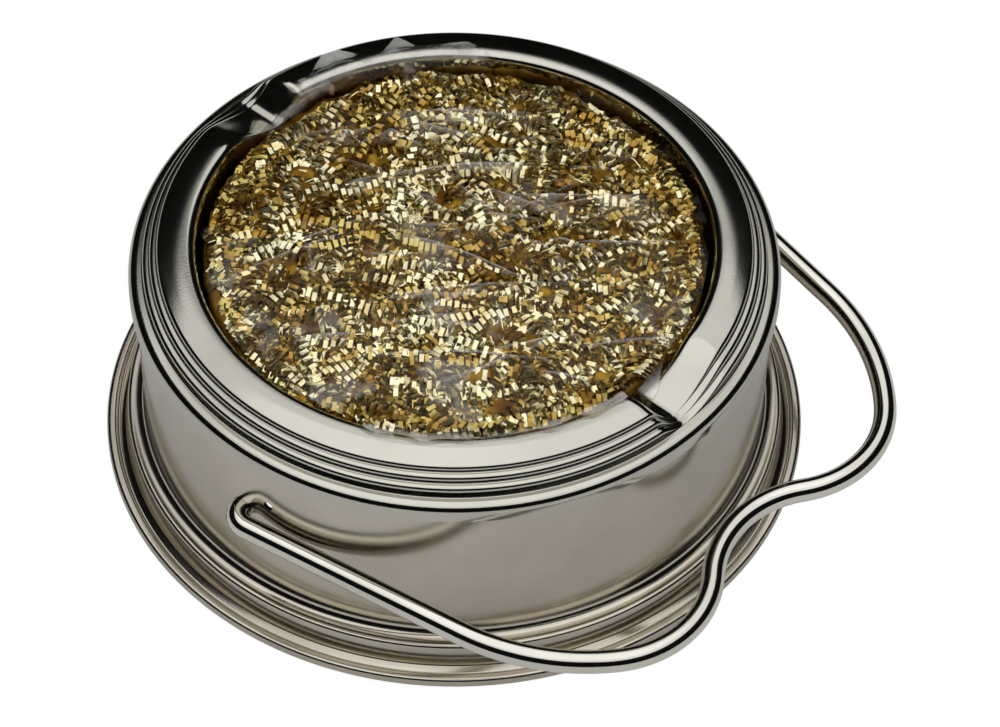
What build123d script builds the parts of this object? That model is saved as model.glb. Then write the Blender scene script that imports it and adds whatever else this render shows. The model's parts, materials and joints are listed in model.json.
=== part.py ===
from build123d import *
import math
import os

# Tip cleaner for a soldering iron: a plated steel holder, a bowl of brass wool and a wire bail.
# Millimetres. The origin is on the holder's axis at the table, +Z up, and the bail reaches to +X.

# Stock
SHEET = 0.45  # steel sheet of the holder and the bowl
WIRE = 2.8  # diameter of the bail's wire
FILM = 0.15  # film of the pouch around the wool

# Clearances
PIVOT_CLEARANCE = 0.05  # radial, wire in its hole
BEND_CLEARANCE = 0.05  # from the wall to the start of the bail's bend
SEAT_CLEARANCE = 0.1  # between the wall's top edge and the rim that hooks over it
RIM_CLEARANCE = 0.2  # radial, between the wall and the rim's rolled edge
POUCH_CLEARANCE = 0.2  # bowl to film, and film to wool

# Holder: a wall on a stepped, flared foot with a rolled edge
WALL_RADIUS = 38.8  # outside, at the foot
WALL_FLARE = 0.35  # the wall's top is wider by this much
WALL_RISE = 23.5  # from the foot's ledge to the wall's top edge
WALL_ROOT_ROUND = 1.0
LEDGE_WIDTH = 2.2
LEDGE_ROUND = 0.8
STEP_DROP = 1.6  # from the ledge to the top of the skirt
STEP_ROOT_ROUND = 0.3
SKIRT_WIDTH = 1.35
SKIRT_DROP = 2.1  # from the top of the skirt to the channel
CHANNEL_CLEARANCE = 0.35  # under the channel, above the table
CHANNEL_ROUND = 0.25
FOOT_BEAD_WIDTH = 1.45
FOOT_BEAD_RISE = 0.65  # above the channel
FOOT_BEAD_LEAN = 0.4  # width of the bead's inner slope
FOOT_BEAD_ROUND = 0.5
HEM_TUCK = 1.2  # how far the rolled edge runs back under the foot

# Rim of the bowl, from its rolled edge inwards
ROLL_DROP = 1.5  # hangs below the wall's top edge
ROLL_WIDTH = 1.75
ROLL_ROUND = 0.75  # roundings of the rim are those of its inner face
RIM_STEPS = [(0.9, 1.5, 0.1), (0.4, 0.95, 0.1)]  # width, rise and rounding of each step
CREASE_ROUND = 0.15
RIM_LEDGE_WIDTH = 0.5
RING_WIDTH = 4.75  # convex ring around the mouth
RING_RISE = 1.3
RING_ROUND = 1.2

# Bowl inside the holder
BOWL_DEPTH = 24.5  # from the ring's crest to the floor
BOWL_DRAFT = 1.5  # the floor's radius is smaller by this much
BOWL_ROUND = 4.0

# Pressed rests for the iron, across the rim at +X and -X
REST_HALF_WIDTH = 5.2
REST_DEPTH = 4.4  # to the point of the V, before it is rounded
REST_ROOT_ROUND = 2.4
REST_SHOULDER_ROUND = 2.2
REST_SHOULDER_WIDTH = 2.0
REST_LIP = 0.15  # the shoulders run out this far above the crest

# Bail, drawn in its own plane, which holds the pivot axis
PIVOT_DROP = 10.95  # below the wall's top edge
BAIL_DROOP = 3.5  # degrees below level at rest
BEND_RADIUS = 2.0
STUB_LENGTH = 3.0  # of each wire end, inside the wall
NOTCH_STANDOFF = 6.2  # from the wall to the middle of the notch
NOTCH_DEPTH = 5.5
LOBE_OFFSET = 17.0  # from the middle to the crest of each lobe
LOBE_RADIUS = 14.0
LOBE_TURN = 40.0  # degrees from the crest to the flank
FLANK_RADIUS = 28.0

# Small hole in the wall beside the pivot
PILOT_DIAMETER = 1.25
PILOT_ANGLE = 4.6  # degrees around the wall
PILOT_RISE = 1.2  # above the pivot

# Brass wool: rows of curled ribbon on a matted pad, under one crowned top
WOOL_CROWN = 1.4  # its middle stands this far above the ring's crest
WOOL_SINK = 3.0  # its edge lies this far below the ring's crest
WOOL_EDGE_ROUND = 2.0
WOOL_CORNER_ROUND = 3.5
RIBBON_WIDTH = 1.0
RIBBON_THICKNESS = 0.4
CURL_ROWS = 7
CURL_SPACING = 7.0  # between rows
CURL_HEADING = 39.5  # degrees from +X to the rows
CURL_RADIUS = 1.8  # from a row's axis to the middle of the ribbon
CURL_PITCH = 5.5
CURL_CLEARANCE = 0.2  # pad to curls, and curls to the crowned top

# Folds of the film over the wool
FOLD_COUNT = 5
FOLD_SPACING = 10.0
FOLD_LENGTH = 24.0
FOLD_RISE = 1.0
FOLD_HALF_WIDTH = 1.2  # where a fold leaves the crowned film
FOLD_SWING = 12.0  # degrees that the folds turn from the rows of curls

# Radii and heights that follow from these
channel_z = CHANNEL_CLEARANCE + SHEET
foot_bead_z = channel_z + FOOT_BEAD_RISE
skirt_z = channel_z + SKIRT_DROP
ledge_z = skirt_z + STEP_DROP
wall_top_z = ledge_z + WALL_RISE
ledge_r = WALL_RADIUS + LEDGE_WIDTH
channel_r = ledge_r + SKIRT_WIDTH
foot_r = channel_r + FOOT_BEAD_WIDTH
wall_top_r = WALL_RADIUS + WALL_FLARE
pivot_z = wall_top_z - PIVOT_DROP
wall_pivot_r = WALL_RADIUS + WALL_FLARE * (pivot_z - ledge_z) / WALL_RISE

rim_r = wall_top_r + RIM_CLEARANCE + SHEET
roll_z = wall_top_z - ROLL_DROP
roll_rise = ROLL_ROUND - math.sqrt(ROLL_ROUND**2 - max(ROLL_ROUND - RIM_CLEARANCE, 0) ** 2)
rim_step_z = wall_top_z + SEAT_CLEARANCE + roll_rise + SHEET
rim_ledge_r = rim_r - ROLL_WIDTH - sum(width for width, _, _ in RIM_STEPS)
rim_ledge_z = rim_step_z + sum(rise for _, rise, _ in RIM_STEPS)
ring_r = rim_ledge_r - RIM_LEDGE_WIDTH
mouth_r = ring_r - RING_WIDTH
crest_z = rim_ledge_z + RING_RISE
floor_z = crest_z - BOWL_DEPTH
floor_r = mouth_r - BOWL_DRAFT

wool_inset = 2 * POUCH_CLEARANCE + FILM
wool_r = mouth_r - wool_inset
dome_sag = WOOL_CROWN + WOOL_SINK
dome_bend = (wool_r**2 + dome_sag**2) / (2 * dome_sag)
dome_z = crest_z + WOOL_CROWN - dome_bend
curl_reach = CURL_RADIUS + RIBBON_THICKNESS / 2
curl_layer = 2 * curl_reach + 2 * CURL_CLEARANCE
pad_z = dome_z - curl_layer
curl_bend = dome_bend + CURL_CLEARANCE + curl_reach
curl_field = wool_r - WOOL_EDGE_ROUND - curl_reach

os.makedirs("parts", exist_ok=True)


def rim_outline():
    """Corners of the rim's shown face, from the rolled edge to the mouth, and their roundings."""
    r = rim_r - ROLL_WIDTH
    z = rim_step_z
    corners = [(rim_r, roll_z), (rim_r, z), (r, z)]
    rounds = [ROLL_ROUND + SHEET, CREASE_ROUND]
    for width, rise, rounding in RIM_STEPS:
        z += rise
        corners.append((r, z))
        r -= width
        corners.append((r, z))
        rounds += [rounding + SHEET, CREASE_ROUND]
    corners[-1] = (ring_r, z)
    ring_round = min(RING_ROUND + SHEET, 0.45 * RING_WIDTH, 0.95 * RING_RISE - CREASE_ROUND)
    corners += [(ring_r, crest_z), (mouth_r, crest_z)]
    rounds += [ring_round, ring_round]
    return corners, rounds


def wool_profile(growth, drop=0):
    """Right half of the crowned wool's section, its faces moved out by growth and its top down by drop."""
    inset = wool_inset - growth
    edge_z = crest_z - WOOL_SINK + growth
    base_z = floor_z + inset
    edge = (mouth_r - inset - BOWL_DRAFT * drop / (edge_z - base_z), edge_z - drop)
    corner = (floor_r - inset, base_z)
    base = (0, base_z)
    crown = (0, crest_z + WOOL_CROWN + growth - drop)
    with BuildSketch(Plane.XZ) as profile:
        with BuildLine():
            TangentArc(crown, edge, tangent=(1, 0))
            FilletPolyline(edge, corner, base, radius=WOOL_CORNER_ROUND + growth)
            Line(base, crown)
        make_face()
        fillet(profile.vertices().sort_by(Axis.X)[-1], WOOL_EDGE_ROUND + growth)
    return profile.sketch


def curl_mark(turn, turns, row_y, hand, phase):
    """Place, way along and way outwards of a curled ribbon, a number of turns from its start."""
    row_bend = math.sqrt(curl_bend**2 - row_y**2)
    lean = (turn - turns / 2) * CURL_PITCH / row_bend
    ahead = Vector(math.cos(lean), 0, -math.sin(lean))
    up = Vector(math.sin(lean), 0, math.cos(lean))
    side = Vector(0, hand, 0)
    spin = 2 * math.pi * turn + phase
    out = up * math.cos(spin) + side * math.sin(spin)
    swing = side * math.cos(spin) - up * math.sin(spin)
    axis_point = Vector(0, row_y, pad_z) + up * row_bend
    along = ahead * CURL_PITCH + swing * (2 * math.pi * CURL_RADIUS)
    return axis_point + out * CURL_RADIUS, along.normalized(), out


def biarc(start, start_way, end, end_way):
    """Two arcs that meet smoothly, from a point and a way along to another point and way along."""
    chord = end - start
    ways = start_way + end_way
    slack = 2 * (1 - start_way.dot(end_way))
    reach = (math.sqrt(chord.dot(ways) ** 2 + slack * chord.dot(chord)) - chord.dot(ways)) / slack
    near = start + start_way * reach
    far = end - end_way * reach
    middle = (near + far) * 0.5
    TangentArc(start, middle, tangent=start_way)
    TangentArc(middle, end, tangent=far - near)


def fold(index, growth):
    """One fold of the film, whose ends dip into the crowned top, with its faces moved out by growth."""
    row_y = (index - (FOLD_COUNT - 1) / 2) * FOLD_SPACING
    film_z = dome_z + math.sqrt(dome_bend**2 - row_y**2) + POUCH_CLEARANCE
    bend = 1 / (8 * FOLD_RISE / FOLD_LENGTH**2 + 1 / dome_bend)
    slope = math.atan2(FOLD_HALF_WIDTH, FOLD_RISE)
    top_z = film_z + FOLD_RISE + growth / math.sin(slope)
    base_z = film_z - FOLD_RISE
    half_base = (top_z - base_z) * math.tan(slope)
    half_turn = math.degrees(math.asin(0.62 * FOLD_LENGTH / bend))
    with BuildSketch(Plane.YZ) as tent:
        with BuildLine():
            Polyline((row_y, top_z), (row_y + half_base, base_z), (row_y - half_base, base_z), close=True)
        make_face()
    hinge = Axis((0, 0, film_z + FOLD_RISE - bend), (0, 1, 0))
    swing = CURL_HEADING + FOLD_SWING * math.sin(2.4 * index)
    with BuildPart() as ridge:
        revolve(tent.sketch.rotate(hinge, -half_turn), axis=hinge, revolution_arc=2 * half_turn)
    return ridge.part.rotate(Axis.Z, swing)


# Holder
with BuildPart() as holder:
    with BuildSketch(Plane.XZ):
        with BuildLine():
            FilletPolyline(
                (wall_top_r, wall_top_z),
                (WALL_RADIUS, ledge_z),
                (ledge_r, ledge_z),
                (ledge_r, skirt_z),
                (channel_r, channel_z),
                (channel_r + FOOT_BEAD_LEAN, foot_bead_z),
                (foot_r, foot_bead_z),
                (foot_r, 0),
                (foot_r - HEM_TUCK, 0),
                radius=[
                    WALL_ROOT_ROUND,
                    LEDGE_ROUND,
                    STEP_ROOT_ROUND,
                    CHANNEL_ROUND,
                    FOOT_BEAD_ROUND / 2,
                    FOOT_BEAD_ROUND,
                    FOOT_BEAD_ROUND,
                ],
            )
            offset(amount=SHEET, side=Side.RIGHT)
        make_face()
    revolve(axis=Axis.Z)
    with BuildSketch(Plane.XZ):
        with Locations((0, pivot_z)):
            Circle(WIRE / 2 + PIVOT_CLEARANCE)
    extrude(amount=foot_r, both=True, mode=Mode.SUBTRACT)
    pilot = math.radians(PILOT_ANGLE)
    pilot_plane = Plane(
        origin=(0, 0, pivot_z + PILOT_RISE),
        x_dir=(math.cos(pilot), math.sin(pilot), 0),
        z_dir=(math.sin(pilot), -math.cos(pilot), 0),
    )
    with BuildSketch(pilot_plane):
        Circle(PILOT_DIAMETER / 2)
    extrude(amount=foot_r, mode=Mode.SUBTRACT)
holder.part.label = "holder"
export_step(holder.part, "parts/holder.step")

# Bowl with its moulded rim
rim_corners, rim_rounds = rim_outline()
lip_z = crest_z + REST_LIP
groove_y = REST_HALF_WIDTH + REST_SHOULDER_WIDTH
with BuildSketch(Plane.YZ) as groove:
    with BuildLine():
        FilletPolyline(
            (-groove_y, lip_z + REST_DEPTH),
            (-groove_y, lip_z),
            (-REST_HALF_WIDTH, lip_z),
            (0, lip_z - REST_DEPTH),
            (REST_HALF_WIDTH, lip_z),
            (groove_y, lip_z),
            (groove_y, lip_z + REST_DEPTH),
            radius=[0, REST_SHOULDER_ROUND, REST_ROOT_ROUND, REST_SHOULDER_ROUND, 0],
        )
        Line((groove_y, lip_z + REST_DEPTH), (-groove_y, lip_z + REST_DEPTH))
    make_face()
with BuildSketch(Plane.YZ) as trough:
    add(groove.sketch_local)
    offset(amount=SHEET)
    add(groove.sketch_local, mode=Mode.SUBTRACT)
with BuildSketch(Plane.XZ) as rim_envelope:
    with BuildLine():
        FilletPolyline(*rim_corners, (mouth_r, roll_z), radius=rim_rounds)
        Line((mouth_r, roll_z), (rim_r, roll_z))
    make_face()
with BuildPart() as rest_trough:
    extrude(trough.sketch, amount=rim_r, both=True)
    revolve(rim_envelope.sketch, axis=Axis.Z, mode=Mode.INTERSECT)

with BuildPart() as bowl:
    with BuildSketch(Plane.XZ):
        with BuildLine():
            FilletPolyline(
                *rim_corners,
                (floor_r, floor_z),
                (0, floor_z),
                radius=[*rim_rounds, BOWL_ROUND],
            )
            offset(amount=SHEET, side=Side.LEFT)
        make_face()
    revolve(axis=Axis.Z)
    extrude(groove.sketch, amount=rim_r, both=True, mode=Mode.SUBTRACT)
    add(rest_trough.part)
bowl.part.label = "bowl"
export_step(bowl.part, "parts/bowl.step")

# Bail: one wire from pivot to pivot, bent to two lobes with a notch between them.
# It is drawn flat, with the pivot axis along Y, and then set at the pivot and tipped.
notch_x = wall_pivot_r + NOTCH_STANDOFF
radii_sum = (LOBE_OFFSET**2 + NOTCH_DEPTH**2) / (2 * NOTCH_DEPTH)
notch_radius = radii_sum - LOBE_RADIUS
notch_turn = math.degrees(math.asin(LOBE_OFFSET / radii_sum))
lobe_centre = Vector(notch_x + NOTCH_DEPTH - LOBE_RADIUS, LOBE_OFFSET)
flank_heading = 90 + LOBE_TURN
flank_shift = Vector(FLANK_RADIUS - LOBE_RADIUS, 0).rotate(Axis.Z, flank_heading - 90)
flank_centre = lobe_centre - flank_shift
bend_y = wall_pivot_r + BEND_CLEARANCE
bend_offset = Vector(BEND_RADIUS, bend_y) - flank_centre
arm_lean = math.asin((FLANK_RADIUS - BEND_RADIUS) / bend_offset.length)
arm_heading = math.degrees(math.atan2(bend_offset.Y, bend_offset.X) + arm_lean)
arm_length = bend_offset.length * math.cos(arm_lean)
stub_length = BEND_CLEARANCE + SHEET + STUB_LENGTH
with BuildPart() as bail:
    with BuildLine() as half_line:
        notch = JernArc((notch_x, 0), (0, 1), notch_radius, -notch_turn)
        lobe = JernArc(notch @ 1, notch % 1, LOBE_RADIUS, notch_turn + LOBE_TURN)
        flank = JernArc(lobe @ 1, lobe % 1, FLANK_RADIUS, arm_heading - flank_heading)
        arm = PolarLine(flank @ 1, arm_length, direction=flank % 1)
        bend = JernArc(arm @ 1, arm % 1, BEND_RADIUS, 270 - arm_heading)
        stub = PolarLine(bend @ 1, stub_length, direction=bend % 1)
        mirror(about=Plane.XZ)
    with BuildSketch(Plane(stub @ 1, z_dir=stub % 1)):
        Circle(WIRE / 2)
    sweep(path=half_line.wire())
bail_place = Location((0, 0, pivot_z), (0, BAIL_DROOP, 0))
bail_part = bail_place * bail.part
bail_part.label = "bail"
export_step(bail_part, "parts/bail.step")

# Matted pad of brass wool
with BuildPart() as brass_wool:
    revolve(wool_profile(0, curl_layer), axis=Axis.Z)
brass_wool.part.label = "brass_wool"
export_step(brass_wool.part, "parts/brass_wool.step")

# Curled ribbons in rows on the pad, each one unbroken ribbon that faces its row's axis
curl_count = 0
least_gap = math.inf
for row in range(CURL_ROWS):
    row_y = (row - (CURL_ROWS - 1) / 2) * CURL_SPACING
    row_length = 2 * math.sqrt(max(curl_field**2 - row_y**2, CURL_PITCH**2))
    turns = math.floor(row_length / CURL_PITCH)
    twist = (turns, row_y, 1 - 2 * (row % 2), 2.4 * row)
    marks = [curl_mark(half / 2, *twist) for half in range(2 * turns + 1)]
    row_bend = math.sqrt(curl_bend**2 - row_y**2)
    half_lean = turns * CURL_PITCH / (2 * row_bend)
    end_x = row_bend * math.sin(half_lean)
    end_z = pad_z + row_bend * math.cos(half_lean)
    with BuildLine() as row_axis:
        ThreePointArc((-end_x, row_y, end_z), (0, row_y, pad_z + row_bend), (end_x, row_y, end_z))
    with BuildLine() as ribbon_line:
        for (start, start_way, _), (end, end_way, _) in zip(marks, marks[1:]):
            biarc(start, start_way, end, end_way)
    first, first_way, first_out = marks[0]
    with BuildPart() as curl:
        with BuildSketch(Plane(first, x_dir=first_out, z_dir=first_way)):
            Rectangle(RIBBON_THICKNESS, RIBBON_WIDTH)
        sweep(path=ribbon_line.wire(), binormal=row_axis.edge())
    curl_part = curl.part.rotate(Axis.Z, CURL_HEADING)
    curl_part.label = f"wool_curl_{row + 1}"
    export_step(curl_part, f"parts/wool_curl_{row + 1}.step")
    curl_count += turns
    points = [curl_mark(step / 12, *twist)[0] for step in range(12 * turns + 1)]
    for index, point in enumerate(points):
        for other in points[index + 7 :]:
            least_gap = min(least_gap, (other - point).length - math.hypot(RIBBON_WIDTH, RIBBON_THICKNESS))

# Film pouch around the wool, with its main folds
with BuildPart() as film_pouch:
    revolve(wool_profile(POUCH_CLEARANCE + FILM), axis=Axis.Z)
    add([fold(index, FILM) for index in range(FOLD_COUNT)])
    revolve(wool_profile(POUCH_CLEARANCE), axis=Axis.Z, mode=Mode.SUBTRACT)
    add([fold(index, 0) for index in range(FOLD_COUNT)], mode=Mode.SUBTRACT)
film_pouch.part.label = "film_pouch"
export_step(film_pouch.part, "parts/film_pouch.step")

wire_length = half_line.wire().length
print(f"bail: {wire_length:.1f} mm of wire, volume {bail_part.volume:.1f} mm3")
print(f"wire section times length: {math.pi * WIRE**2 / 4 * wire_length:.1f} mm3")
print(f"foot radius {foot_r:.2f}, rim radius {rim_r:.2f}, mouth {mouth_r:.2f}, crest {crest_z:.2f}")
print(f"{curl_count} curls in {CURL_ROWS} rows, least gap of a ribbon to itself {least_gap:.2f} mm")
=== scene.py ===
"""Looks of the tip cleaner: plated sheet and wire, curled brass ribbon and crumpled film, in metres."""
import json
import math
from functools import reduce

import bpy
import numpy as np
from mathutils import Matrix, Vector, noise


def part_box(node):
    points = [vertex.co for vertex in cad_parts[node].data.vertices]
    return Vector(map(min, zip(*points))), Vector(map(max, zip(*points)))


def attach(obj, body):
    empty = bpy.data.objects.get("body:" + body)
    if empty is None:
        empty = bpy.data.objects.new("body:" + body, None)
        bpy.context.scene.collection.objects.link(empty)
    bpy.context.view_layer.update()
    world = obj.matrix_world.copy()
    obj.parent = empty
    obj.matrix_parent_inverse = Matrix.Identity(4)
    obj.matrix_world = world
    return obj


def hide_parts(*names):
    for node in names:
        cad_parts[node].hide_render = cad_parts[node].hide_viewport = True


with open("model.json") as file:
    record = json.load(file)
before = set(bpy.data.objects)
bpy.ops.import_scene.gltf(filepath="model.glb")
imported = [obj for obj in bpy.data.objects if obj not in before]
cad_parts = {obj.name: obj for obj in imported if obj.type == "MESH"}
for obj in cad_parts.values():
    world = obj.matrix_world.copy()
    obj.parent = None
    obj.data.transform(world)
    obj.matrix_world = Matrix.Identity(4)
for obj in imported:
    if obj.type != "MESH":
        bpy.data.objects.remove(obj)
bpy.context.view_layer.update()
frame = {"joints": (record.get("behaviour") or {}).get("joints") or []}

MM = 0.001

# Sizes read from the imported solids
_, holder_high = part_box("holder")
_, bowl_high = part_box("bowl")
foot_r = holder_high.y
wall_top_z = holder_high.z
rim_r = bowl_high.y
crest_z = bowl_high.z
pivot_z = frame["joints"][0]["pos_m"][2]

# Stock
SHEET = 0.45 * MM
WIRE = 2.8 * MM

# Fineness of the turned, drilled and bent pieces
ARC_STEP = math.radians(9.0)
RUN_STEP = 1.2 * MM
HUB_RADIUS = 1e-5
HOLDER_SEGMENTS = 256
BOWL_SEGMENTS = 320
BOWL_CROWDING = 0.7
MERGE_DISTANCE = 0.01 * MM
SHARP_ANGLE = math.radians(35.0)
HOLE_SIDES = 40
DRILL_LENGTH = 6.0 * MM
WIRE_SIDES = 32
WIRE_STEP = 0.5 * MM

# Holder: a wall on a stepped, flared foot with a rolled edge
WALL_RISE = 23.5 * MM
WALL_FLARE = 0.35 * MM
WALL_ROOT_ROUND = 1.3 * MM
LEDGE_WIDTH = 2.2 * MM
LEDGE_LEAN = 0.3 * MM
LEDGE_ROUND = 0.5 * MM
STEP_FLARE = 0.4 * MM
SKIRT_RISE = 0.6 * MM
STEP_ROOT_ROUND = 0.3 * MM
SKIRT_WIDTH = 1.35 * MM
CHANNEL_Z = 0.8 * MM
CHANNEL_ROUND = 0.25 * MM
FOOT_BEAD_WIDTH = 1.45 * MM
FOOT_BEAD_RISE = 0.65 * MM
FOOT_BEAD_LEAN = 0.4 * MM
FOOT_BEAD_ROUND = 0.5 * MM
HEM_TUCK = 1.2 * MM
PIVOT_HOLE = 2.9 * MM
PILOT_HOLE = 1.25 * MM
PILOT_ANGLE = math.radians(6.0)
PILOT_RISE = 3.1 * MM

# Rim and bowl, from the rolled edge inwards
ROLL_RISE = 2.29 * MM
ROLL_WIDTH = 1.75 * MM
ROLL_ROUND = 1.2 * MM
RIM_STEPS = [(0.9 * MM, 1.5 * MM, 0.55 * MM), (0.4 * MM, 0.95 * MM, 0.55 * MM)]
CREASE_ROUND = 0.15 * MM
RIM_LEDGE_WIDTH = 0.5 * MM
RING_WIDTH = 4.75 * MM
RING_RISE = 1.3 * MM
RING_ROUND = 1.085 * MM
RING_FALL = 0.55 * MM
RING_FALL_WIDTH = 2.4 * MM
RING_SHOULDER_ROUND = 0.55 * MM
RING_CROWN_ROUND = 6.0 * MM
BOWL_DEPTH = 24.5 * MM
BOWL_DRAFT = 1.5 * MM
BOWL_ROUND = 4.0 * MM

# Rests pressed across the rim at +X and -X, which squeeze it down towards its lowest step. Each has a
# steep and a gentle side and its lowest line off the middle, and one is the other turned about the axis.
REST_STEEP = 2.4 * MM
REST_GENTLE = 7.4 * MM
REST_OFFSET = -2.6 * MM
REST_ROOT = 1.5 * MM
REST_LEAST = 0.08
REST_SOFTNESS = 0.32

# Bail, drawn in its own plane
BAIL_DROOP = math.radians(3.5)
BEND_RADIUS = 2.0 * MM
BEND_STANDOFF = 0.05 * MM
STUB_LENGTH = 3.5 * MM
NOTCH_STANDOFF = 6.2 * MM
NOTCH_DEPTH = 5.5 * MM
LOBE_OFFSET = 17.0 * MM
LOBE_RADIUS = 14.0 * MM
LOBE_TURN = math.radians(40.0)
FLANK_RADIUS = 28.0 * MM

# Brass wool: its crowned top, and its ribbons and fibres
WOOL_CROWN = 1.4 * MM
WOOL_SINK = 0.9 * MM
DOME_MARGIN = 0.55 * MM
CURL_ROWS = 7
RIBBON_WIDTH = 0.56 * MM
RIBBON_THICKNESS = 0.07 * MM
ROUND_RIBBON_WIDTH = 0.5 * MM
FIBRE_WIDTH = 0.14 * MM
FIBRE_THICKNESS = 0.06 * MM

# How strands lie: reach and sink, ranges of their random draws, and noise that makes them uneven
STRAND_REACH = 0.3 * MM
STRAND_SINK = 0.2 * MM
STRAND_BENDS = (-38.0, 38.0)
TURN_DRIFTS = (0.985, 1.015)
EDGE_LIMITS = (0.94, 1.0)
LEAST_RADIUS = 1e-6
WANDER = 4.5 * MM
WANDER_SCALE = 160.0
JITTER = 0.3
JITTER_SCALE = 900.0
JITTER_SHIFT = (0.7, 0.2, 0.4)
JITTER_EDGES = (0.25, 0.75)
UNEVEN_SCALE = 420.0
UNEVEN_SHIFT = (0.3, 0.1, 0.2)
UNEVEN_EDGES = (0.3, 0.7)
LEAST_UNEVEN = 0.7

# Matted core of the wool
CORE_SINK = 1.9 * MM
CORE_MARGIN = 0.4 * MM
CORE_BASE_MARGIN = 0.8 * MM
CORE_FLOOR_GAP = 0.6 * MM
CORE_LUMP = 0.9 * MM
CORE_LUMP_SCALE = 420.0
CORE_RINGS = 44
CORE_SPOKES = 150
CORE_LEVELS = 8

# Radii and heights that follow from these
channel_r = foot_r - FOOT_BEAD_WIDTH
ledge_r = channel_r - SKIRT_WIDTH
wall_r = ledge_r - LEDGE_WIDTH
ledge_z = wall_top_z - WALL_RISE
wall_pivot_r = wall_r + WALL_FLARE * (pivot_z - ledge_z) / WALL_RISE
ring_ledge_z = crest_z - RING_RISE
rim_step_z = ring_ledge_z - sum(rise for _, rise, _ in RIM_STEPS)
ring_r = rim_r - ROLL_WIDTH - sum(width for width, _, _ in RIM_STEPS) - RIM_LEDGE_WIDTH
mouth_r = ring_r - RING_WIDTH
floor_z = crest_z - BOWL_DEPTH
floor_r = mouth_r - BOWL_DRAFT
dome_r = mouth_r - DOME_MARGIN
dome_sag = WOOL_CROWN + WOOL_SINK
dome_bend = (dome_r**2 + dome_sag**2) / (2 * dome_sag)


# Helpers for node trees and meshes
class Graph:
    """Adds nodes to a tree and links them.

    The value of an input is a number, a vector or another node's output.
    """

    def __init__(self, tree):
        self.tree = tree

    def feed(self, socket, value):
        if isinstance(value, bpy.types.NodeSocket):
            self.tree.links.new(value, socket)
        else:
            socket.default_value = value

    def node(self, kind, inputs=None, **settings):
        node = self.tree.nodes.new(kind)
        for name, value in settings.items():
            setattr(node, name, value)
        for name, value in (inputs or {}).items():
            self.feed(node.inputs[name], value)
        return node

    def made(self, kind, inputs=None, **settings):
        """The first output of a new node."""
        return self.node(kind, inputs, **settings).outputs[0]

    def math(self, operation, *values):
        return self.made("ShaderNodeMath", dict(enumerate(values)), operation=operation)

    def add(self, *values):
        return reduce(lambda first, second: self.math("ADD", first, second), values)

    def minus(self, *values):
        """The first value less all the others."""
        return reduce(lambda first, second: self.math("SUBTRACT", first, second), values)

    def times(self, *values):
        return reduce(lambda first, second: self.math("MULTIPLY", first, second), values)

    def vector(self, operation, *values):
        node = self.node("ShaderNodeVectorMath", operation=operation)
        for index, value in enumerate(values):
            self.feed(node.inputs["Scale" if operation == "SCALE" and index else index], value)
        return node.outputs["Value" if operation == "LENGTH" else "Vector"]

    def join(self, x, y, z):
        return self.made("ShaderNodeCombineXYZ", {"X": x, "Y": y, "Z": z})

    def split(self, vector):
        return self.node("ShaderNodeSeparateXYZ", {"Vector": vector}).outputs

    def noise(self, place, scale, detail, output="Fac"):
        inputs = {"Vector": place, "Scale": scale, "Detail": detail}
        return self.node("ShaderNodeTexNoise", inputs).outputs[output]

    def ramp(self, value, low, high, start=0.0, end=1.0):
        inputs = {"Value": value, "From Min": low, "From Max": high, "To Min": start, "To Max": end}
        return self.node("ShaderNodeMapRange", inputs).outputs["Result"]

    def blend(self, share, first, second):
        """Mixes two colours. For colours the node has inputs 0, 6 and 7 and output 2."""
        inputs = {0: share, 6: first, 7: second}
        return self.node("ShaderNodeMix", inputs, data_type="RGBA").outputs[2]


def geometry_tree(name, inputs):
    """A tree with a geometry input and output and the named inputs, each a (name, socket type) pair."""
    tree = bpy.data.node_groups.new(name, "GeometryNodeTree")
    for label, kind in [("Geometry", "NodeSocketGeometry"), *inputs]:
        tree.interface.new_socket(label, in_out="INPUT", socket_type=kind)
    tree.interface.new_socket("Geometry", in_out="OUTPUT", socket_type="NodeSocketGeometry")
    graph = Graph(tree)
    given = graph.node("NodeGroupInput").outputs
    result = graph.node("NodeGroupOutput").inputs[0]
    return graph, given, result


def close_tree(graph, given, result, mesh, smooth=True):
    """Ends a tree with real geometry, smooth or faceted, in the given material."""
    shaded = graph.made("GeometryNodeSetShadeSmooth", {"Geometry": mesh, "Shade Smooth": smooth})
    real = graph.made("GeometryNodeRealizeInstances", {"Geometry": shaded})
    painted = graph.made("GeometryNodeSetMaterial", {"Geometry": real, "Material": given["Material"]})
    graph.feed(result, painted)
    return graph.tree


def add_tree(piece, tree, values):
    """Adds the tree to the piece as a modifier and sets its inputs by their sockets' identifiers."""
    modifier = piece.modifiers.new(tree.name, "NODES")
    modifier.node_group = tree
    for socket in tree.interface.items_tree:
        if socket.in_out == "INPUT" and socket.name in values:
            modifier[socket.identifier] = values[socket.name]


def settle(piece):
    """Turns a piece with modifiers into a plain mesh."""
    bpy.context.view_layer.update()
    depsgraph = bpy.context.evaluated_depsgraph_get()
    made = bpy.data.meshes.new_from_object(piece.evaluated_get(depsgraph), depsgraph=depsgraph)
    piece.modifiers.clear()
    piece.data = made
    made.name = piece.name


def new_object(name, data):
    made = bpy.data.objects.new(name, data)
    bpy.context.scene.collection.objects.link(made)
    return made


def new_piece(name, points, edges=(), faces=()):
    mesh = bpy.data.meshes.new(name)
    mesh.from_pydata([tuple(p) for p in points], list(edges), list(faces))
    return new_object(name, mesh)


def disc_faces(rings, spokes):
    """Faces of a disc of points: a fan around point 0, and rows of quads from ring to ring."""
    faces = [(0, 1 + s, 1 + (s + 1) % spokes) for s in range(spokes)]
    for ring in range(rings - 1):
        near = 1 + ring * spokes
        for s in range(spokes):
            after = (s + 1) % spokes
            faces.append((near + s, near + spokes + s, near + spokes + after, near + after))
    return faces


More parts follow.
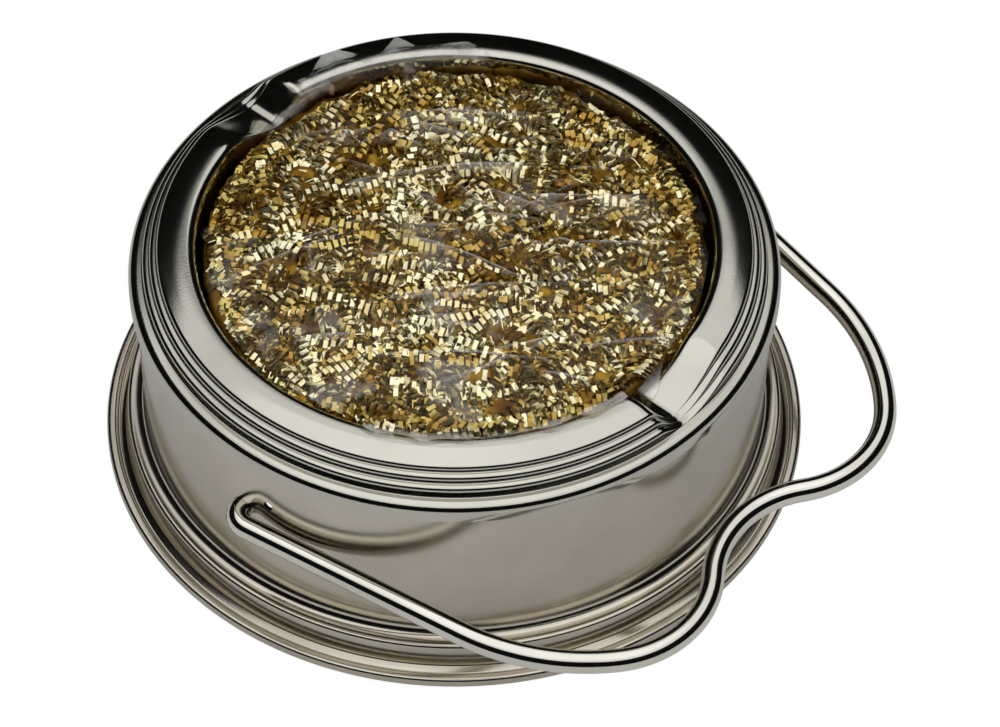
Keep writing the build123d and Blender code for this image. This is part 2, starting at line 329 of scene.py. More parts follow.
def finish_piece(piece, body, slot, *nodes):
    """Says which body the piece rides on and which nodes it replaces, if any. The slot is not used."""
    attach(piece, body)
    if nodes:
        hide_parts(*nodes)


# Surface effects that several materials share
PLATE_CLOUD_SIZE = 14 * MM
PLATE_CLOUD_EDGES = (0.35, 0.65)
PLATE_GRAIN_SIZE = 0.22 * MM
PIT_SPACING = 5 * MM
PIT_EDGES = (0.05, 0.1)
PIT_TINT = (0.08, 0.07, 0.06, 1)
PIT_ROUGHNESS = 0.4
BRASS_CLOUD_SIZE = 3.5 * MM
BRASS_CLOUD_EDGES = (0.38, 0.6)
BRASS_GRAIN_SIZE = 0.3 * MM
BRASS_GRAIN_DEPTH = 0.01 * MM


def surface_group():
    """Cloud, grain and pit masks on object coordinates, each with its own size in metres."""
    tree = bpy.data.node_groups.new("plated_surface", "ShaderNodeTree")
    for label in ("Cloud Size", "Grain Size", "Pit Spacing", "Pit Share"):
        tree.interface.new_socket(label, in_out="INPUT", socket_type="NodeSocketFloat")
    for label in ("Cloud", "Grain", "Pits"):
        tree.interface.new_socket(label, in_out="OUTPUT", socket_type="NodeSocketFloat")
    graph = Graph(tree)
    given = graph.node("NodeGroupInput").outputs
    result = graph.node("NodeGroupOutput").inputs
    place = graph.node("ShaderNodeTexCoord").outputs["Object"]
    cloud_scale = graph.math("DIVIDE", 1.0, given["Cloud Size"])
    grain_scale = graph.math("DIVIDE", 1.0, given["Grain Size"])
    pit_scale = graph.math("DIVIDE", 1.0, given["Pit Spacing"])
    cells = graph.node("ShaderNodeTexVoronoi", {"Vector": place, "Scale": pit_scale}).outputs
    kept = graph.math("LESS_THAN", graph.split(cells["Color"])[0], given["Pit Share"])
    spot = graph.ramp(cells["Distance"], *PIT_EDGES, 1.0, 0.0)
    graph.feed(result["Cloud"], graph.noise(place, cloud_scale, 3.0))
    graph.feed(result["Grain"], graph.noise(place, grain_scale, 2.0))
    graph.feed(result["Pits"], graph.times(kept, spot))
    return tree


surface = surface_group()


def new_material(name):
    material = bpy.data.materials.new(name)
    material.use_nodes = True
    graph = Graph(material.node_tree)
    shader = material.node_tree.nodes["Principled BSDF"]
    return material, graph, shader


def surface_marks(graph, cloud_size, grain_size, pit_share=0.0):
    sizes = {"Cloud Size": cloud_size, "Grain Size": grain_size,
             "Pit Spacing": PIT_SPACING, "Pit Share": pit_share}
    return graph.node("ShaderNodeGroup", sizes, node_tree=surface).outputs


def roughen(graph, shader, height, depth):
    """Bumps the shader's normal by a height."""
    bump = graph.node("ShaderNodeBump", {"Height": height, "Strength": 1.0, "Distance": depth})
    graph.feed(shader.inputs["Normal"], bump.outputs["Normal"])


def plated(name, light, dark, smooth, dull, grain_depth, pit_share):
    """Nickel plate: cloudy tint and gloss, fine grain, and a few small pits."""
    material, graph, shader = new_material(name)
    marks = surface_marks(graph, PLATE_CLOUD_SIZE, PLATE_GRAIN_SIZE, pit_share)
    cloud = graph.ramp(marks["Cloud"], *PLATE_CLOUD_EDGES)
    tint = graph.blend(cloud, dark, light)
    graph.feed(shader.inputs["Base Color"], graph.blend(marks["Pits"], tint, PIT_TINT))
    gloss = graph.ramp(cloud, 0, 1, dull, smooth)
    pitted = graph.times(marks["Pits"], PIT_ROUGHNESS)
    graph.feed(shader.inputs["Roughness"], graph.add(gloss, pitted))
    roughen(graph, shader, graph.minus(marks["Grain"], marks["Pits"]), grain_depth)
    shader.inputs["Metallic"].default_value = 1.0
    return material


def brass(name, pale, amber, smooth, dull):
    """Bright brass that goes amber in patches, with fine draw marks."""
    material, graph, shader = new_material(name)
    marks = surface_marks(graph, BRASS_CLOUD_SIZE, BRASS_GRAIN_SIZE)
    cloud = graph.ramp(marks["Cloud"], *BRASS_CLOUD_EDGES)
    graph.feed(shader.inputs["Base Color"], graph.blend(cloud, amber, pale))
    graph.feed(shader.inputs["Roughness"], graph.ramp(cloud, 0, 1, dull, smooth))
    roughen(graph, shader, marks["Grain"], BRASS_GRAIN_DEPTH)
    shader.inputs["Metallic"].default_value = 1.0
    return material


wall_plate = plated("plated_wall", (0.58, 0.54, 0.455, 1), (0.51, 0.475, 0.4, 1),
                    smooth=0.13, dull=0.19, grain_depth=0.004 * MM, pit_share=0.05)
rim_plate = plated("plated_rim", (0.56, 0.55, 0.485, 1), (0.5, 0.49, 0.43, 1),
                   smooth=0.07, dull=0.12, grain_depth=0.004 * MM, pit_share=0.02)
wire_plate = plated("plated_wire", (0.73, 0.715, 0.645, 1), (0.65, 0.637, 0.572, 1),
                    smooth=0.06, dull=0.1, grain_depth=0.002 * MM, pit_share=0.0)
ribbon_brass = brass("ribbon_brass", (0.88, 0.82, 0.55, 1), (0.8, 0.68, 0.34, 1), smooth=0.14, dull=0.24)
# Darker copy of the ribbon brass: painted shade for the wool's middle, border and round layers
painted_shade_brass = brass("painted_shade_brass", (0.62, 0.5, 0.17, 1), (0.44, 0.25, 0.045, 1), smooth=0.2, dull=0.34)
# Darkest copy of the brass: painted shade for the wool's core
painted_shade_core_brass = brass("painted_shade_core_brass", (0.4, 0.23, 0.03, 1), (0.2, 0.09, 0.01, 1), smooth=0.5, dull=0.7)


# Outlines of sheet
def swung(direction, angle):
    """A direction in the plane, turned by an angle."""
    c, s = math.cos(angle), math.sin(angle)
    return np.array([direction[0] * c - direction[1] * s, direction[0] * s + direction[1] * c])


def rounded(corners, rounds):
    """Points along straight runs with rounded corners, and the unit normal to the left at each."""
    corners = [np.array(c, float) for c in corners]
    points, normals = [], []
    start = corners[0]
    for index in range(1, len(corners)):
        corner = corners[index]
        run = corner - corners[index - 1]
        ahead = run / np.linalg.norm(run)
        left = np.array([-ahead[1], ahead[0]])
        turn, trim, side = 0.0, 0.0, 0.0
        if index < len(corners) - 1:
            after = corners[index + 1] - corner
            cross = ahead[0] * after[1] - ahead[1] * after[0]
            turn = math.atan2(cross, ahead @ after)
            trim = rounds[index - 1] * math.tan(abs(turn) / 2)
            side = math.copysign(rounds[index - 1], turn)
        end = corner - ahead * trim
        steps = max(1, math.ceil(np.linalg.norm(end - start) / RUN_STEP))
        for step in range(steps):
            points.append(start + (end - start) * step / steps)
            normals.append(left)
        bends = math.ceil(abs(turn) / ARC_STEP)
        centre = end + left * side
        for bend in range(bends):
            normal = swung(left, turn * bend / bends)
            points.append(centre - normal * side)
            normals.append(normal)
        start = centre - swung(left, turn) * side
    points.append(start)
    normals.append(left)
    return np.array(points), np.array(normals)


def sheet_outline(name, corners, rounds, hidden_side, closed):
    """The outline of a sheet as a chain of edges, with how deep each point lies under the shown face."""
    shown, normals = rounded(corners, rounds)
    hidden = shown + normals * SHEET * hidden_side
    chain = np.vstack([shown[::-1], hidden])
    count = len(chain)
    links = [(i, i + 1) for i in range(count - 1)] + ([(count - 1, 0)] if closed else [])
    piece = new_piece(name, [(r, -z, 0.0) for r, z in chain], links)
    depth = piece.data.attributes.new("depth", "FLOAT", "POINT")
    depth.data.foreach_set("value", [0.0] * len(shown) + [SHEET] * len(hidden))
    return piece


def turned_tree():
    """Turns an outline in the XY plane, with radius along X and height along -Y, around the Z axis.

    Crowding draws the steps around the axis together at the two rests.
    """
    graph, given, result = geometry_tree("turned_sheet", [
        ("Segments", "NodeSocketInt"), ("Crowding", "NodeSocketFloat"), ("Material", "NodeSocketMaterial")])
    outline = graph.made("GeometryNodeMeshToCurve", {"Mesh": given["Geometry"]})
    hub = graph.made("GeometryNodeCurvePrimitiveCircle", {
        "Resolution": given["Segments"], "Radius": HUB_RADIUS})
    place = graph.made("GeometryNodeInputPosition")
    x, y, _ = graph.split(place)
    double = graph.times(graph.math("ARCTAN2", y, x), 2.0)
    swing = graph.times(graph.math("SINE", double), graph.times(given["Crowding"], -0.5))
    inputs = {"Vector": place, "Angle": swing}
    shifted = graph.made("ShaderNodeVectorRotate", inputs, rotation_type="Z_AXIS")
    crowded = graph.made("GeometryNodeSetPosition", {"Geometry": hub, "Position": shifted})
    swept = graph.made("GeometryNodeCurveToMesh", {"Curve": crowded, "Profile Curve": outline})
    merged = graph.made("GeometryNodeMergeByDistance", {"Geometry": swept, "Distance": MERGE_DISTANCE})
    return close_tree(graph, given, result, merged)


def pressed_tree():
    """Squeezes what stands above a base level down towards it, most along the lowest line of each rest."""
    names = ("Base", "Steep", "Gentle", "Offset", "Root", "Least", "Softness")
    graph, given, result = geometry_tree("pressed_rests", [(n, "NodeSocketFloat") for n in names])
    place = graph.made("GeometryNodeInputPosition")
    depth = graph.made("GeometryNodeInputNamedAttribute", {"Name": "depth"}, data_type="FLOAT")
    x, y, z = graph.split(place)
    off = graph.minus(graph.times(graph.math("SIGN", x), y), given["Offset"])
    root_square = graph.times(given["Root"], given["Root"])
    reach = graph.math("SQRT", graph.add(graph.times(off, off), root_square))
    gentle = graph.math("GREATER_THAN", off, 0.0)
    width = graph.ramp(gentle, 0.0, 1.0, given["Steep"], given["Gentle"])
    away = graph.math("DIVIDE", graph.minus(reach, given["Root"]), width)
    kept = graph.math("SMOOTH_MIN", graph.add(given["Least"], away), 1.0, given["Softness"])
    above = graph.minus(graph.add(z, depth), given["Base"])
    level = graph.add(given["Base"], graph.times(above, kept))
    moved = graph.made("GeometryNodeSetPosition", {
        "Geometry": given["Geometry"], "Selection": graph.math("GREATER_THAN", above, 0.0),
        "Position": graph.join(x, y, graph.minus(level, depth))})
    graph.feed(result, moved)
    return graph.tree


turned = turned_tree()


def soften(piece):
    """Keeps only the sharpest edges crisp."""
    piece.data.set_sharp_from_angle(angle=SHARP_ANGLE)


def drill(piece, start, direction, diameter):
    """Cuts a round hole into the piece, from a start point along a direction."""
    bpy.ops.mesh.primitive_cylinder_add(vertices=HOLE_SIDES, radius=diameter / 2, depth=DRILL_LENGTH)
    bit = bpy.context.object
    ahead = Vector(direction).normalized()
    turn = ahead.to_track_quat("Z", "Y").to_matrix().to_4x4()
    bit.data.transform(Matrix.Translation(Vector(start) + ahead * DRILL_LENGTH / 2) @ turn)
    cut = piece.modifiers.new("hole", "BOOLEAN")
    cut.object = bit
    cut.solver = "EXACT"
    settle(piece)
    bpy.data.objects.remove(bit)


# Holder
def make_holder():
    corners = [
        (wall_r + WALL_FLARE, wall_top_z),
        (wall_r, ledge_z - LEDGE_LEAN),
        (ledge_r, ledge_z),
        (ledge_r + STEP_FLARE, CHANNEL_Z + SKIRT_RISE),
        (channel_r, CHANNEL_Z),
        (channel_r + FOOT_BEAD_LEAN, CHANNEL_Z + FOOT_BEAD_RISE),
        (foot_r, CHANNEL_Z + FOOT_BEAD_RISE),
        (foot_r, 0.0),
        (foot_r - HEM_TUCK, 0.0),
    ]
    rounds = [WALL_ROOT_ROUND, LEDGE_ROUND, STEP_ROOT_ROUND, CHANNEL_ROUND,
              FOOT_BEAD_ROUND / 2, FOOT_BEAD_ROUND, FOOT_BEAD_ROUND]
    piece = sheet_outline("holder_shell", corners, rounds, -1, closed=True)
    add_tree(piece, turned, {"Segments": HOLDER_SEGMENTS, "Crowding": 0.0, "Material": wall_plate})
    settle(piece)
    drill_r = wall_r - DRILL_LENGTH / 2
    for side in (-1, 1):
        drill(piece, (0, side * drill_r, pivot_z), (0, side, 0), PIVOT_HOLE)
    pilot = Vector((math.sin(PILOT_ANGLE), -math.cos(PILOT_ANGLE), 0))
    drill(piece, pilot * drill_r + Vector((0, 0, pivot_z + PILOT_RISE)), pilot, PILOT_HOLE)
    soften(piece)
    finish_piece(piece, "base", "plated_steel", "holder")


# Bowl with its moulded rim
def make_bowl():
    r, z = rim_r - ROLL_WIDTH, rim_step_z
    corners = [(rim_r, z - ROLL_RISE), (rim_r, z), (r, z)]
    rounds = [ROLL_ROUND, CREASE_ROUND]
    for width, rise, rounding in RIM_STEPS:
        z += rise
        corners.append((r, z))
        r -= width
        corners.append((r, z))
        rounds += [rounding, CREASE_ROUND]
    # The last step's ledge runs on to the ring
    corners[-1] = (ring_r, z)
    corners += [(ring_r, crest_z - RING_FALL), (ring_r - RING_FALL_WIDTH, crest_z), (mouth_r, crest_z),
                (floor_r, floor_z), (0.0, floor_z)]
    rounds += [RING_SHOULDER_ROUND, RING_CROWN_ROUND, RING_ROUND, BOWL_ROUND]
    piece = sheet_outline("bowl_shell", corners, rounds, 1, closed=False)
    add_tree(piece, turned, {"Segments": BOWL_SEGMENTS, "Crowding": BOWL_CROWDING, "Material": rim_plate})
    add_tree(piece, pressed_tree(), {
        "Base": rim_step_z, "Steep": REST_STEEP, "Gentle": REST_GENTLE, "Offset": REST_OFFSET,
        "Root": REST_ROOT, "Least": REST_LEAST, "Softness": REST_SOFTNESS})
    settle(piece)
    soften(piece)
    finish_piece(piece, "base", "plated_steel", "bowl")


# Bail: one wire from pivot to pivot
def arc(point, heading, radius, turn):
    """Points of an arc that starts at a point and a heading, and its end point and heading."""
    steps = max(2, math.ceil(abs(turn) * radius / WIRE_STEP))
    side = math.copysign(1.0, turn)
    centre = point + side * radius * np.array([-math.sin(heading), math.cos(heading)])
    headings = heading + turn * np.arange(1, steps + 1) / steps
    points = centre - side * radius * np.stack([-np.sin(headings), np.cos(headings)], axis=1)
    return points, points[-1], heading + turn


def bail_line():
    """Half of the wire's centreline, from the notch to the wire's end, in the bail's plane."""
    notch_x = wall_pivot_r + NOTCH_STANDOFF
    radii_sum = (LOBE_OFFSET**2 + NOTCH_DEPTH**2) / (2 * NOTCH_DEPTH)
    notch_turn = math.asin(LOBE_OFFSET / radii_sum)
    lobe_centre = np.array([notch_x + NOTCH_DEPTH - LOBE_RADIUS, LOBE_OFFSET])
    reach = FLANK_RADIUS - LOBE_RADIUS
    flank_centre = lobe_centre - reach * np.array([math.cos(LOBE_TURN), math.sin(LOBE_TURN)])
    offset = np.array([BEND_RADIUS, wall_pivot_r + BEND_STANDOFF]) - flank_centre
    lean = math.asin((FLANK_RADIUS - BEND_RADIUS) / np.linalg.norm(offset))
    arm_heading = math.atan2(offset[1], offset[0]) + lean
    arm_length = np.linalg.norm(offset) * math.cos(lean)
    heading = math.pi / 2
    point = np.array([notch_x, 0.0])
    line = [point[None]]
    for radius, turn in (
        (radii_sum - LOBE_RADIUS, -notch_turn),
        (LOBE_RADIUS, notch_turn + LOBE_TURN),
        (FLANK_RADIUS, arm_heading - math.pi / 2 - LOBE_TURN),
    ):
        points, point, heading = arc(point, heading, radius, turn)
        line.append(points)
    point = point + arm_length * np.array([math.cos(heading), math.sin(heading)])
    line.append(point[None])
    points, point, _ = arc(point, heading, BEND_RADIUS, 1.5 * math.pi - heading)
    line.append(points)
    line.append(point[None] - np.array([[0.0, STUB_LENGTH]]))
    return np.vstack(line)


def wire_tree():
    """A round wire along a chain of edges, with its ends closed."""
    graph, given, result = geometry_tree("bent_wire", [
        ("Diameter", "NodeSocketFloat"), ("Sides", "NodeSocketInt"), ("Material", "NodeSocketMaterial")])
    path = graph.made("GeometryNodeMeshToCurve", {"Mesh": given["Geometry"]})
    even = graph.made("GeometryNodeResampleCurve", {"Curve": path, "Length": WIRE_STEP}, mode="LENGTH")
    radius = graph.times(given["Diameter"], 0.5)
    section = graph.made("GeometryNodeCurvePrimitiveCircle", {
        "Resolution": given["Sides"], "Radius": radius})
    swept = graph.made("GeometryNodeCurveToMesh", {
        "Curve": even, "Profile Curve": section, "Fill Caps": True})
    return close_tree(graph, given, result, swept)


def make_bail():
    half = bail_line()
    line = np.vstack([half[:0:-1] * (1, -1), half])
    place = Matrix.Translation((0, 0, pivot_z)) @ Matrix.Rotation(BAIL_DROOP, 4, "Y")
    points = [place @ Vector((x, y, 0.0)) for x, y in line]
    piece = new_piece("bail_wire", points, [(i, i + 1) for i in range(len(points) - 1)])
    add_tree(piece, wire_tree(), {"Diameter": WIRE, "Sides": WIRE_SIDES, "Material": wire_plate})
    settle(piece)
    soften(piece)
    finish_piece(piece, "bail", "plated_wire", "bail")


# Brass wool
def wool_top(radius):
    """Height of the wool's crowned top at a distance from the axis."""
    return crest_z + WOOL_CROWN - dome_bend + np.sqrt(dome_bend**2 - np.minimum(radius, dome_r) ** 2)


def strand_tree():
    """Curled ribbons that lie in random directions under a crowned top."""
    whole = ("Count", "Seed", "Steps")
    lengths = ("Field", "Inner", "Crown", "Dome", "Depth", "Least Length", "Most Length",
               "Least Curl", "Most Curl", "Turns", "Width", "Thickness")
    graph, given, result = geometry_tree("curled_strands", [
        *[(label, "NodeSocketInt") for label in whole],
        *[(label, "NodeSocketFloat") for label in lengths],
        ("Material", "NodeSocketMaterial")])
    draws = iter(range(100))

    def draw(low, high):
        """A random number for each strand. For numbers the node has inputs 2, 3 and 8 and output 1."""
        seed = graph.add(given["Seed"], float(next(draws)))
        inputs = {2: low, 3: high, 8: seed}
        return graph.node("FunctionNodeRandomValue", inputs, data_type="FLOAT").outputs[1]

    facts = {
        "bearing": draw(0.0, math.tau),
        "share": draw(given["Inner"], 1.0),
        "heading": draw(0.0, math.tau),
        "bend": draw(*STRAND_BENDS),
        "length": draw(given["Least Length"], given["Most Length"]),
        "curl": draw(given["Least Curl"], given["Most Curl"]),
        "phase": draw(0.0, math.tau),
        "sink": draw(0.0, 1.0),
        "drift": draw(*TURN_DRIFTS),
        "limit": draw(*EDGE_LIMITS),
    }
    points = graph.made("GeometryNodePoints", {"Count": given["Count"]})
    capture = graph.node("GeometryNodeCaptureAttribute", {"Geometry": points}, domain="POINT")
    held = {}
    for name, value in facts.items():
        capture.capture_items.new("FLOAT", name)
        graph.feed(capture.inputs[name], value)
        held[name] = capture.outputs[name]
    line = graph.made("GeometryNodeCurvePrimitiveLine")
    many = graph.made("GeometryNodeResampleCurve", {"Curve": line, "Count": given["Steps"]}, mode="COUNT")
    spread = graph.made("GeometryNodeInstanceOnPoints", {
        "Points": capture.outputs["Geometry"], "Instance": many})
    strands = graph.made("GeometryNodeRealizeInstances", {"Geometry": spread})

    # The middle line of each curl: a bowed path that wanders, and stays under the top and in the mouth
    share = graph.node("GeometryNodeSplineParameter").outputs["Factor"]
    along = graph.times(graph.minus(share, 0.5), held["length"])
    out = graph.times(graph.math("SQRT", held["share"]), given["Field"])
    start = graph.join(graph.times(out, graph.math("COSINE", held["bearing"])),
                       graph.times(out, graph.math("SINE", held["bearing"])), 0.0)
    bow = graph.times(held["bend"], along)
    swing = graph.add(held["heading"], bow)
    half_swing = graph.add(held["heading"], graph.times(bow, 0.5))
    ahead = graph.join(graph.math("COSINE", half_swing), graph.math("SINE", half_swing), 0.0)
    middle = graph.vector("ADD", start, graph.vector("SCALE", ahead, along))
    wander_place = graph.vector("ADD", middle, graph.join(0.0, 0.0, held["phase"]))
    wander = graph.noise(wander_place, WANDER_SCALE, 1.0, output="Color")
    wander = graph.vector("SCALE", graph.vector("SUBTRACT", wander, (0.5, 0.5, 0.5)), WANDER)
    middle = graph.vector("ADD", middle, wander)
    mx, my, mz = graph.split(middle)
    flat = graph.join(mx, my, 0.0)
    radius = graph.math("MAXIMUM", graph.vector("LENGTH", flat), LEAST_RADIUS)
    room = graph.times(graph.minus(given["Field"], held["curl"]), held["limit"])
    shrink = graph.math("MINIMUM", 1.0, graph.math("DIVIDE", room, radius))
    flat = graph.vector("SCALE", flat, shrink)
    radius = graph.vector("LENGTH", flat)
    drop = graph.math("DIVIDE", graph.times(radius, radius), graph.times(given["Dome"], 2.0))
    sink = graph.add(graph.times(held["sink"], given["Depth"]), graph.math("MAXIMUM", mz, 0.0))
    height = graph.minus(given["Crown"], drop, sink, held["curl"])
    centre = graph.vector("ADD", flat, graph.join(0.0, 0.0, height))

    # The ribbon's turns around that line
    turns = graph.times(given["Turns"], held["drift"], share)
    jitter = graph.noise(graph.vector("ADD", middle, JITTER_SHIFT), JITTER_SCALE, 0.0)
    jitter = graph.ramp(jitter, *JITTER_EDGES, -JITTER, JITTER)
    spin = graph.add(held["phase"], jitter, graph.times(turns, math.tau))
    uneven = graph.noise(graph.vector("ADD", middle, UNEVEN_SHIFT), UNEVEN_SCALE, 1.0)
    curl = graph.times(held["curl"], graph.ramp(uneven, *UNEVEN_EDGES, LEAST_UNEVEN, 1.0))
    across = graph.join(graph.times(graph.math("SINE", swing), -1.0), graph.math("COSINE", swing), 0.0)
    outward = graph.vector("ADD", graph.vector("SCALE", across, graph.math("COSINE", spin)),
                           graph.join(0.0, 0.0, graph.math("SINE", spin)))
    place = graph.vector("ADD", centre, graph.vector("SCALE", outward, curl))
    moved = graph.made("GeometryNodeSetPosition", {"Geometry": strands, "Position": place})
    faced = graph.made("GeometryNodeSetCurveNormal", {"Curve": moved, "Normal": outward}, mode="FREE")
    section = graph.made("GeometryNodeCurvePrimitiveQuadrilateral", {
        "Width": given["Thickness"], "Height": given["Width"]})
    ribbon = graph.made("GeometryNodeCurveToMesh", {
        "Curve": faced, "Profile Curve": section, "Fill Caps": True})
    return close_tree(graph, given, result, ribbon, smooth=False)


def strand_kind(lengths, curls, turns, steps_per_turn, width, thickness):
    """Inputs for one kind of strand. Its lengths and curls are the least and the most, in millimetres."""
    return {
        "Least Length": lengths[0] * MM, "Most Length": lengths[1] * MM,
        "Least Curl": curls[0] * MM, "Most Curl": curls[1] * MM,
        "Turns": turns, "Steps": round(turns * steps_per_turn) + 1,
        "Width": width, "Thickness": thickness,
    }


def make_strands():
    """Kinked and round curls of ribbon, and a few loose fibres, in place of the rows of curls."""
    tree = strand_tree()
    kinked = strand_kind((19, 30), (1.1, 1.7), 26.0, 8, RIBBON_WIDTH, RIBBON_THICKNESS)
    round_curls = strand_kind((16, 26), (1.2, 2.0), 14.0, 13, ROUND_RIBBON_WIDTH, RIBBON_THICKNESS)
    fibres = strand_kind((14, 30), (0.8, 2.2), 2.4, 25, FIBRE_WIDTH, FIBRE_THICKNESS)
    rows = [f"wool_curl_{row + 1}" for row in range(CURL_ROWS)]
    # Each layer: name, kind, count, seed, depth in millimetres, share left free inside, brass, and nodes
    layers = [
        ("wool_top_curls", kinked, 112, 11, 1.8, 0.0, ribbon_brass, rows),
        ("wool_upper_curls", kinked, 112, 23, 2.4, 0.0, ribbon_brass, []),
        # The middle, border and round layers take the darker brass, which is painted shade below the top
        # layer
        ("wool_middle_curls", kinked, 112, 52, 2.8, 0.0, painted_shade_brass, []),
        ("wool_border_curls", kinked, 80, 37, 1.8, 0.74, painted_shade_brass, []),
        ("wool_round_curls", round_curls, 60, 71, 2.4, 0.0, painted_shade_brass, []),
        ("wool_loose_fibres", fibres, 60, 93, 1.0, 0.0, ribbon_brass, []),
    ]
    for name, kind, count, seed, depth, inner, material, nodes in layers:
        piece = new_piece(name, [])
        add_tree(piece, tree, {
            **kind, "Count": count, "Seed": seed, "Depth": depth * MM, "Inner": inner, "Material": material,
            "Field": dome_r + STRAND_REACH, "Crown": crest_z + WOOL_CROWN - STRAND_SINK, "Dome": dome_bend})
        settle(piece)
        finish_piece(piece, "base", "brass_wool", *nodes)


def make_core():
    """Matted wool under the curls, dark with painted shade: a crowned pad with a lumpy top, in the space of
    the CAD pad.
    """
    low_z = floor_z + CORE_FLOOR_GAP
    high_z = crest_z - WOOL_SINK - CORE_SINK
    base_r = floor_r - CORE_BASE_MARGIN
    top_r = dome_r - CORE_MARGIN
    bearings = [math.tau * spoke / CORE_SPOKES for spoke in range(CORE_SPOKES)]
    points = [(0.0, 0.0, float(wool_top(0.0)) - CORE_SINK)]
    for ring in range(1, CORE_RINGS + 1):
        r = top_r * ring / CORE_RINGS
        for a in bearings:
            x, y = r * math.cos(a), r * math.sin(a)
            lump = noise.fractal(Vector((x, y, 0.0)) * CORE_LUMP_SCALE, 0.6, 2.0, 4) * CORE_LUMP
            points.append((x, y, float(wool_top(r)) - CORE_SINK + lump))
    for level in range(1, CORE_LEVELS + 1):
        share = level / CORE_LEVELS
        r = top_r * (1 - share) + base_r * share
        z = high_z * (1 - share) + low_z * share
        points += [(r * math.cos(a), r * math.sin(a), z) for a in bearings]
    bottom = len(points) - CORE_SPOKES
    last = len(points)
    points.append((0.0, 0.0, low_z))
    faces = disc_faces(CORE_RINGS + CORE_LEVELS, CORE_SPOKES)
    faces += [(last, bottom + (s + 1) % CORE_SPOKES, bottom + s) for s in range(CORE_SPOKES)]
    piece = new_piece("wool_core", points, faces=faces)
    # Its dark brass is painted shade for the depths of the wool
    piece.data.materials.append(painted_shade_core_brass)
    piece.data.shade_smooth()
    finish_piece(piece, "base", "brass_wool", "brass_wool")


# Film over the wool: its sheet and the veil that it lays over what is below
FILM_GAP = 0.3 * MM
FILM_RINGS = 140
FILM_SPOKES = 560
RING_CROWDING = 0.9
FILM_CLOUD_SIZE = 7 * MM
FILM_GRAIN_SIZE = 0.5 * MM
FILM_GRAIN_DEPTH = 0.02 * MM
FILM_CLEAR = (0.9, 0.89, 0.86, 1)
FILM_MILKY = (0.72, 0.71, 0.68, 1)
FILM_IOR = 1.5
# Milky patches: rougher, greyer haze, and also a painted sheen where they add reflection
MILK_AND_SHEEN_EDGES = (0.55, 0.62)
EDGE_VEIL = 0.3
PAINTED_SHEEN_VEIL = 0.13
# Painted highlight: extra reflection along the folds' crests and where the film bunches at the rim
PAINTED_CREST_GLINT = 0.34
MOST_VEIL = 0.85

# Its main folds, and the lower creases between them with sizes in millimetres
FOLD_COUNT = 5
FOLD_SPACING = 10.0 * MM
FOLD_LENGTH = 24.0 * MM
FOLD_RISE = 1.0 * MM
FOLD_HALF_WIDTH = 1.2 * MM
FOLD_HEADING = 39.5
FOLD_SWING = 12.0
FOLD_SWING_STEP = 2.4
CREST_HALF_WIDTH = 0.1 * MM
CREASE_COUNT = 40
CREASE_SEED = 7
CREASE_SPREAD = 26.0
CREASE_PLACES = (-21.0, 21.0)
CREASE_HALF_LENGTHS = (2.5, 10.0)
CREASE_HALF_WIDTHS = (0.3, 0.8)
CREASE_RISES = (0.06, 0.25)
CREASE_BOWS = (-12.0, 12.0)
CRUMPLE_SCALE = 90
CRUMPLE_RISE = 0.35 * MM

# Its edge, measured from the mouth: inset, ragged line, rise onto the rim, loose end, and pleats
EDGE_INSET = 0.7 * MM
EDGE_RAGGED = 0.45 * MM
LEAST_RAGGED = 0.2
RAGGED_SCALE = 9
LIFTED_REACH = 1.0 * MM
RISE_START = -3.0 * MM
RISE_END = 0.6 * MM
RIM_START = -1.0 * MM
LOOSE_START = 2.0 * MM
LOOSE_SLOPE = 0.35
BUNCH_START = -1.5 * MM
BUNCH_END = 0.5 * MM
PLEAT_START = -4.0 * MM
PLEAT_COUNT = 36
PLEAT_RISE = 0.08 * MM

# Where the film runs onto the rim: bearing and half width in degrees, steepness of its sides, and reach
FILM_TABS = [
    (-35.0, 40.0, 4.0, 1.3 * MM),
    (150.0, 30.0, 4.0, 1.5 * MM),
    (157.5, 11.0, 1.0, 3.9 * MM),
    (143.0, 8.0, 1.0, 3.2 * MM),
]


def rest_level(x, y):
    """Height of the ring's crest, which dips across the pressed rests."""
    off = np.sign(x) * y - REST_OFFSET
    width = np.where(off > 0, REST_GENTLE, REST_STEEP)
    away = (np.sqrt(off**2 + REST_ROOT**2) - REST_ROOT) / width
    return rim_step_z + (crest_z - rim_step_z) * np.minimum(REST_LEAST + away, 1.0)


def smooth_step(value, low, high):
    share = np.clip((value - low) / (high - low), 0.0, 1.0)
    return share * share * (3 - 2 * share)


def film_reach(bearings):
    """How far the film's edge runs onto the rim at each bearing in degrees."""
    reach = np.zeros_like(bearings)
    for centre, half_width, steepness, length in FILM_TABS:
        away = np.abs((bearings - centre + 180.0) % 360.0 - 180.0)
        reach = np.maximum(reach, length * np.clip(steepness * (1 - away / half_width), 0.0, 1.0))
    return reach


def film_fold(x, y, heading, along_at, across_at, half_length, half_width, rise, bow):
    """Height of one sharp-crested fold at each point, and how near its crest is. Heading in degrees."""
    turn = math.radians(heading)
    along = x * math.cos(turn) + y * math.sin(turn) - along_at
    across = y * math.cos(turn) - x * math.sin(turn) - across_at - bow * along**2
    taper = np.clip(1 - (along / half_length) ** 2, 0.0, 1.0)
    crest = np.exp(-np.abs(across) / CREST_HALF_WIDTH) * taper
    return rise * np.exp(-np.abs(across) / half_width) * taper, crest


